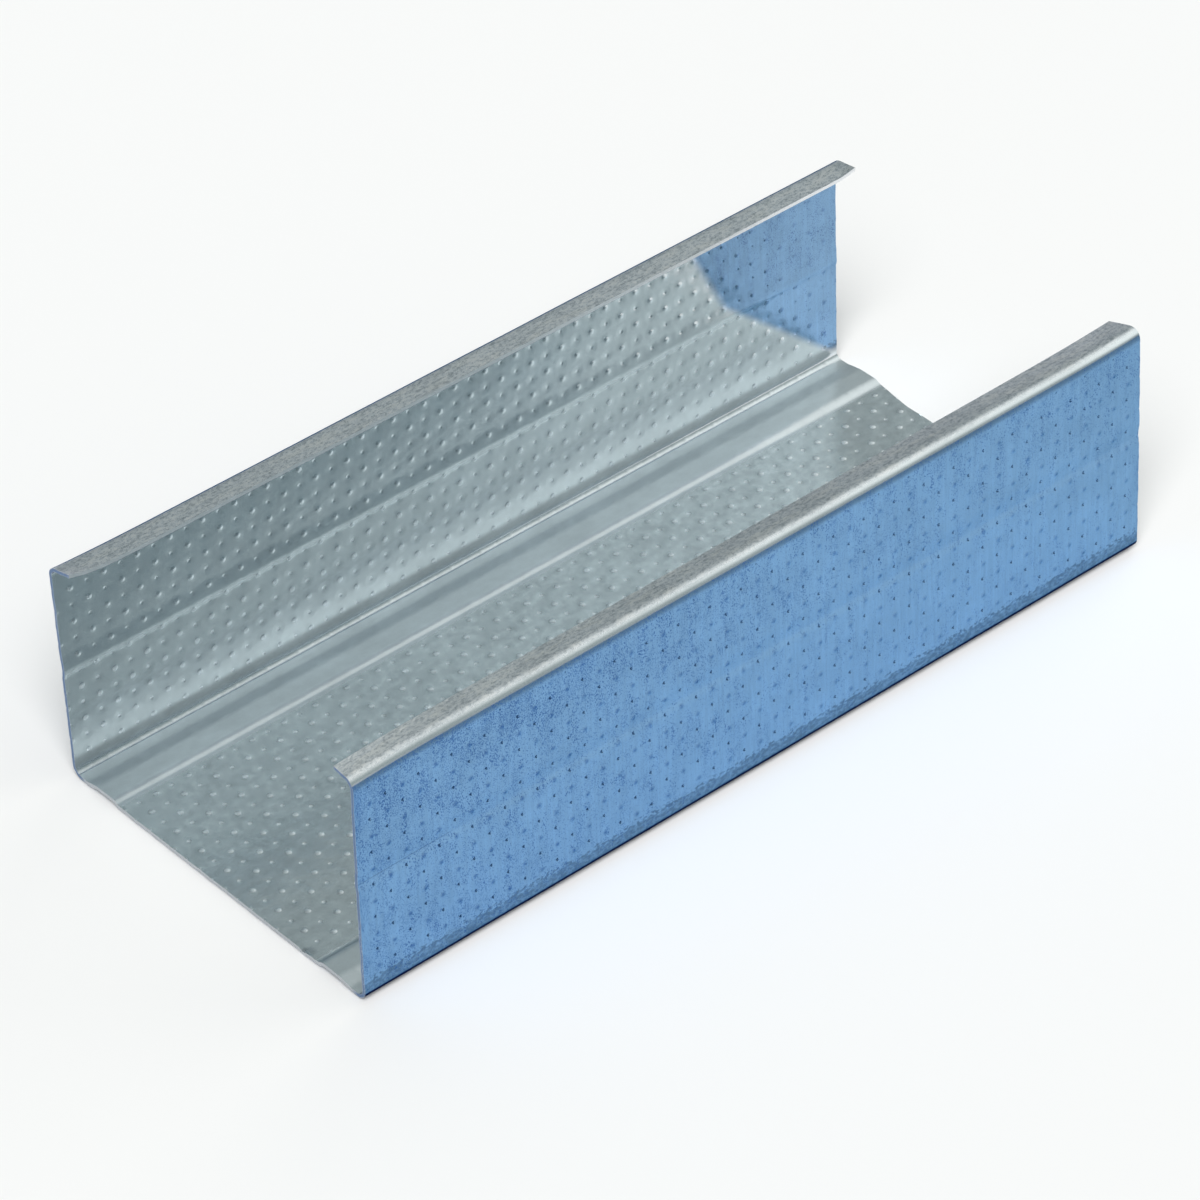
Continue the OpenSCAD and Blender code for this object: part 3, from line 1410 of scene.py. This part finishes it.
        # Painted reflection: the blue patch inside the rear flange's far end, left out of mirrored rays.
        low_edge = self.patch_reflection_low_start - place.above_foot * self.patch_reflection_low_slope
        high_edge = self.patch_reflection_high_start - place.above_foot * self.patch_reflection_high_slope
        over_edge = place.along - graph.math("MAXIMUM", low_edge, high_edge)
        painted_patch = graph.ramp(over_edge, -1.0 * MM, 1.5 * MM) * graph.ramp(place.above_foot, 0.0, 1.5 * MM)
        painted_patch = painted_patch * place.inner * place.rear * unmirrored * self.patch_reflection_share
        return graph.math("MAXIMUM", outside, painted_patch)

    def _lip_wear(self, place: SheetPlace, grit: Term) -> Term:
        """Colour of the bare zinc, with long dull scuffs, rubbed patches and grit on the lips.

        Args:
            place: Where the point is.
            grit: The grit's value, from 0 to 1.

        Returns:
            The colour.
        """
        graph = place.graph
        base = graph.blend(place.on_lip, self.bright, self.scuffed)
        marks = (
            (place.grain(self.lengthwise), 0.50, 0.72, 0.45, self.worn),
            (place.grain(self.patchy), 0.48, 0.66, 0.6, self.rubbed),
            (grit, 0.48, 0.66, 0.8, self.rubbed),
            (grit, 0.54, 0.36, 0.6, self.worn),
        )
        for value, start, full, share, colour in marks:
            base = graph.blend(place.on_lip * graph.ramp(value, start, full) * share, base, colour)
        return base

    def _outside_reflection_colour(self, place: SheetPlace, relief: Mapping[str, Term]) -> Term:
        """Colour of the painted blue reflection on the outside: streaks, specks, dirt and painted shade in
        the pits, painted shade on the pimples, painted shade at the lip bend above, and a darker mottled band
        and a painted shadow along the foot below.

        Args:
            place: Where the point is.
            relief: The dimples' outputs.

        Returns:
            The colour.
        """
        graph = place.graph
        blotch = place.grain(self.blotchy)
        streak = (place.grain(self.upright) - 0.5) * self.streak_shade + 1.0
        # Painted shade: the outside is darkened to half on and just below the lip bend.
        near_bend = graph.ramp(place.below_lip, 0.5 * MM, -0.5 * MM)
        ragged = place.above_foot + (0.5 - blotch) * self.foot_unevenness
        near_foot = graph.ramp(ragged, 2.2 * MM, 1.6 * MM)
        mottle = graph.choose(graph.ramp(blotch, 0.38, 0.62), 0.78, 0.54)
        shade = streak * graph.choose(near_bend, 1.0, 0.5) * graph.choose(near_foot, 1.0, mottle)
        colour = graph.shaded(self.outside, shade)

        leftward = graph.ramp(place.from_left, 110 * MM, 10 * MM)
        specks = self._speckled(place, leftward)
        colour = graph.blend(specks * self.speck_share, colour, self.speck_and_shade)

        fading = graph.choose(leftward, self.right_share, 1.0)
        # Painted shade: the cores of the outer pimples are darkened a little, with the specks' colour.
        painted_pimple_shade = relief["Raised"] * relief["Core"] * graph.ramp(blotch, 0.25, 0.5)
        painted_pimple_shade = painted_pimple_shade * graph.choose(graph.ramp(place.below_lip, 5 * MM, 1 * MM), 0.75, 1.0)
        colour = graph.blend(painted_pimple_shade * fading, colour, self.speck_and_shade)
        # Dirt and painted shade: the cores of the outer pits are darkened, most towards the left.
        pit = (1.0 - relief["Raised"]) * relief["Core"]
        dirt_and_shade = graph.ramp(pit, 0.25, 0.8) * self.pit_dirt_and_shade_share * place.outer * fading
        colour = graph.blend(dirt_and_shade, colour, self.pit_dirt_and_shade)
        colour = graph.blend(self._crease_line_mask(place), colour, self.crease_line)
        # Painted shadow: a dark navy line on the lower part of the foot bend, standing for the shade under
        # the bend seen mirrored.
        foot = graph.band(place.above_foot, self.painted_foot_shadow_low, self.painted_foot_shadow_high, 0.2 * MM)
        return graph.blend(foot, colour, self.painted_foot_shadow)

    def _speckled(self, place: SheetPlace, leftward: Term) -> Term:
        """Mask of the large and small specks, thickest at the top and to the left.

        Args:
            place: Where the point is.
            leftward: Rises to 1 at the left end.

        Returns:
            The mask.
        """
        graph, specks = place.graph, place.effects.specks
        cover = graph.ramp(place.below_lip, 22 * MM, 0.0) * 0.24 + leftward * 0.26 + 0.46
        patches = {"Patch_Along": 2.2 * MM, "Patch_Across": 7 * MM}
        large = {"Strip": place.strip, "Along": 0.24 * MM, "Across": 0.34 * MM, "Cover": cover}
        apart = graph.vector("ADD", place.strip, (5 * MM, 3 * MM, 0.0))
        small = {"Strip": apart, "Along": 0.15 * MM, "Across": 0.20 * MM, "Cover": cover + 0.12}
        masks = (effect(graph, specks, **sizes, **patches)["Mask"] for sizes in (large, small))
        return graph.math("MAXIMUM", next(masks), next(masks) * 0.85)

    def _crease_line_mask(self, place: SheetPlace) -> Term:
        """Mask of the thin dark line along the crease's ridge at one end of the front flange.

        Args:
            place: Where the point is.

        Returns:
            The mask.
        """
        graph = place.graph
        off = abs(place.across - (place.effects.blank.front_lip + self.crease_line_drop))
        line = graph.math("SUBTRACT", 0.7, graph.ramp(off, 0.02 * MM, 0.11 * MM), clamp=True)
        return line * graph.ramp(place.from_left, self.crease_line_length, 0.7 * self.crease_line_length)


@dataclass(frozen=True)
class ShearedSteel:
    """The cut ends, with a painted blue reflection at the flanges and grey at the web, and the lips' bright
    slit edges.
    """

    steel: Colour = shown(0.38, 0.48, 0.62)
    torn: Colour = shown(0.72, 0.74, 0.76)
    slit: Colour = shown(0.93, 0.94, 0.95)
    roughness: float = 0.30
    tears: Grain = Grain(0.25 * MM, 0.18 * MM, 3 * MM)
    tear_depth: float = 0.03 * MM

    def build(self, effects: Effects) -> bpy.types.Material:
        """Makes the material.

        Args:
            effects: The shared surface effects.

        Returns:
            The material.
        """
        blank = effects.blank
        sheet = blank.profile.sheet
        material, graph, shader = new_material("sheared_steel")
        place = SheetPlace(graph, effects)
        flattened = graph.vector("MULTIPLY", place.strip, (1.0, 1.0, 0.1))
        tears = effect(graph, effects.grain, Strip=flattened, **self.tears.sizes())["Value"]
        specks = effect(graph, effects.specks, Strip=place.strip, Cover=0.6)["Mask"]
        rim = graph.ramp(abs(place.depth), 0.3 * sheet, 0.5 * sheet)
        bright = graph.math("MAXIMUM", rim * tears * 0.6, specks * 0.4)
        web_side = graph.ramp(place.above_foot, -2.0 * MM, -4.0 * MM)
        # Painted reflection: the cut ends at the flanges carry the outside's blue.
        colour = graph.blend(bright, graph.blend(web_side, self.steel, self.torn), self.slit)
        is_slit = place.past_lip > blank.lip_flat - 0.02 * MM
        graph.feed(shader["Base Color"], graph.blend(is_slit, colour, self.slit))
        shader["Metallic"].default_value = 1.0
        graph.feed(shader["Roughness"], tears * 0.2 + self.roughness)
        bump = graph.read("ShaderNodeBump", {"Height": tears * self.tear_depth, "Distance": 1.0})
        graph.feed(shader["Normal"], bump)
        return material


@dataclass(frozen=True)
class Lamp:
    """A broad soft lamp, so far off that it lights the whole floor alike."""

    name: str
    towards: tuple[float, float, float]
    breadth: float
    power: float

    def hang(self) -> None:
        """Adds the lamp to the scene."""
        light = bpy.data.lights.new(self.name, "SUN")
        light.angle = self.breadth
        light.energy = self.power
        lamp = _new_object(self.name, light)
        lamp.location = self.towards
        lamp.rotation_euler = (-Vector(self.towards)).to_track_quat("-Z", "Y").to_euler()


@dataclass(frozen=True)
class Viewpoint:
    """Where the main view is taken from, turned a little about its own axis."""

    target: tuple[float, float, float] = (-8.65 * MM, -7.26 * MM, 20.0 * MM)
    azimuth: float = math.radians(-39.160)
    elevation: float = math.radians(38.103)
    roll: float = math.radians(-2.543)
    distance: float = 870.9 * MM
    sensor: float = 36.0
    lens: float = 177.39
    nearest: float = 50 * MM

    def set_up(self) -> None:
        """Adds the camera to the scene."""
        level = math.cos(self.elevation)
        ahead = -math.cos(self.azimuth) * level
        back = Vector((math.sin(self.azimuth) * level, ahead, math.sin(self.elevation)))
        data = bpy.data.cameras.new("camera")
        data.sensor_width = self.sensor
        data.lens = self.lens
        data.clip_start = self.nearest
        camera = _new_object("camera", data)
        turn = (-back).to_track_quat("-Z", "Y").to_matrix() @ Matrix.Rotation(self.roll, 3, "Z")
        camera.rotation_euler = turn.to_euler()
        camera.location = Vector(self.target) + back * self.distance
        bpy.context.scene.camera = camera


@dataclass(frozen=True)
class Studio:
    """A plain pale floor in a dim tent with one bright window to the right."""

    floor_level: float
    floor_colour: Colour = shown(0.945, 0.94, 0.935)
    floor_reach: float = 3.0
    tent: Colour = (0.287, 0.330, 0.334, 1.0)
    window: Colour = (0.985, 1.015, 0.995, 1.0)
    dusk: Colour = (0.13, 0.155, 0.165, 1.0)
    window_place: tuple[float, float, float] = (0.897, -0.075, 0.436)
    window_inner: float = math.radians(30)
    window_outer: float = math.radians(45)
    dusk_start: float = math.radians(54)
    dusk_end: float = math.radians(70)
    sweep_full: float = math.radians(5)
    sweep_gone: float = math.radians(13)
    key: Lamp = Lamp("key", (-0.50, -0.60, 1.0), math.radians(35), 3.0)
    view: Viewpoint = Viewpoint()

    def set_up(self) -> None:
        """Puts the floor, the surround, the lamp and the camera round the piece."""
        self._lay_floor()
        self._surround()
        self.key.hang()
        self.view.set_up()
        bpy.context.scene.view_settings.view_transform = "Standard"

    def _lay_floor(self) -> None:
        """Lays the floor."""
        reach = self.floor_reach
        corners = [(x * reach, y * reach, self.floor_level) for x, y in ((-1, -1), (1, -1), (1, 1), (-1, 1))]
        floor = _new_object("floor", _new_mesh("floor", corners, [[0, 1, 2, 3]]))
        material, _, shader = new_material("pale_floor")
        shader["Base Color"].default_value = self.floor_colour
        shader["Roughness"].default_value = 0.9
        shader["Specular IOR Level"].default_value = 0.1
        floor.data.materials.append(material)

    def _surround(self) -> None:
        """Lights the tent: darkest away from the window, and in the floor's colour near the horizon."""
        world = bpy.data.worlds.new("studio")
        world.use_nodes = True
        bpy.context.scene.world = world
        graph = Graph(world.node_tree)
        towards = graph.read("ShaderNodeTexCoord", output="Generated")
        nearness = graph.vector("DOT_PRODUCT", towards, self.window_place)
        level = graph.ramp(nearness, math.cos(self.window_outer), math.cos(self.window_inner))
        light = graph.blend(level, self.tent, self.window)
        away = graph.ramp(nearness, math.cos(self.dusk_start), math.cos(self.dusk_end))
        light = graph.blend(away, light, self.dusk)
        height = graph.split(towards)[2]
        sweep = graph.ramp(height, math.sin(self.sweep_gone), math.sin(self.sweep_full))
        back = world.node_tree.nodes["Background"]
        graph.feed(back.inputs["Color"], graph.blend(sweep, light, self.floor_colour))


def main() -> None:
    """Builds the piece and the studio round it."""
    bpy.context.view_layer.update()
    low, high = (Vector(corner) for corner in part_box(NODE))
    size = high - low
    blank = Blank(SectionProfile(size.y, size.z), DimplePattern())
    effects = Effects(blank)
    piece = StudBody(blank, Springing()).build(RolledZinc().build(effects), ShearedSteel().build(effects))
    LOG.info("%s: %d points, %d faces", piece.name, len(piece.data.vertices), len(piece.data.polygons))
    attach(piece, BODY)
    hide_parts(NODE)
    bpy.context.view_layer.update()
    Studio(floor_level=min(corner.co.z for corner in piece.data.vertices)).set_up()


if __name__ == "__main__":
    logging.basicConfig(level=logging.INFO, format="%(name)s: %(message)s")
    main()
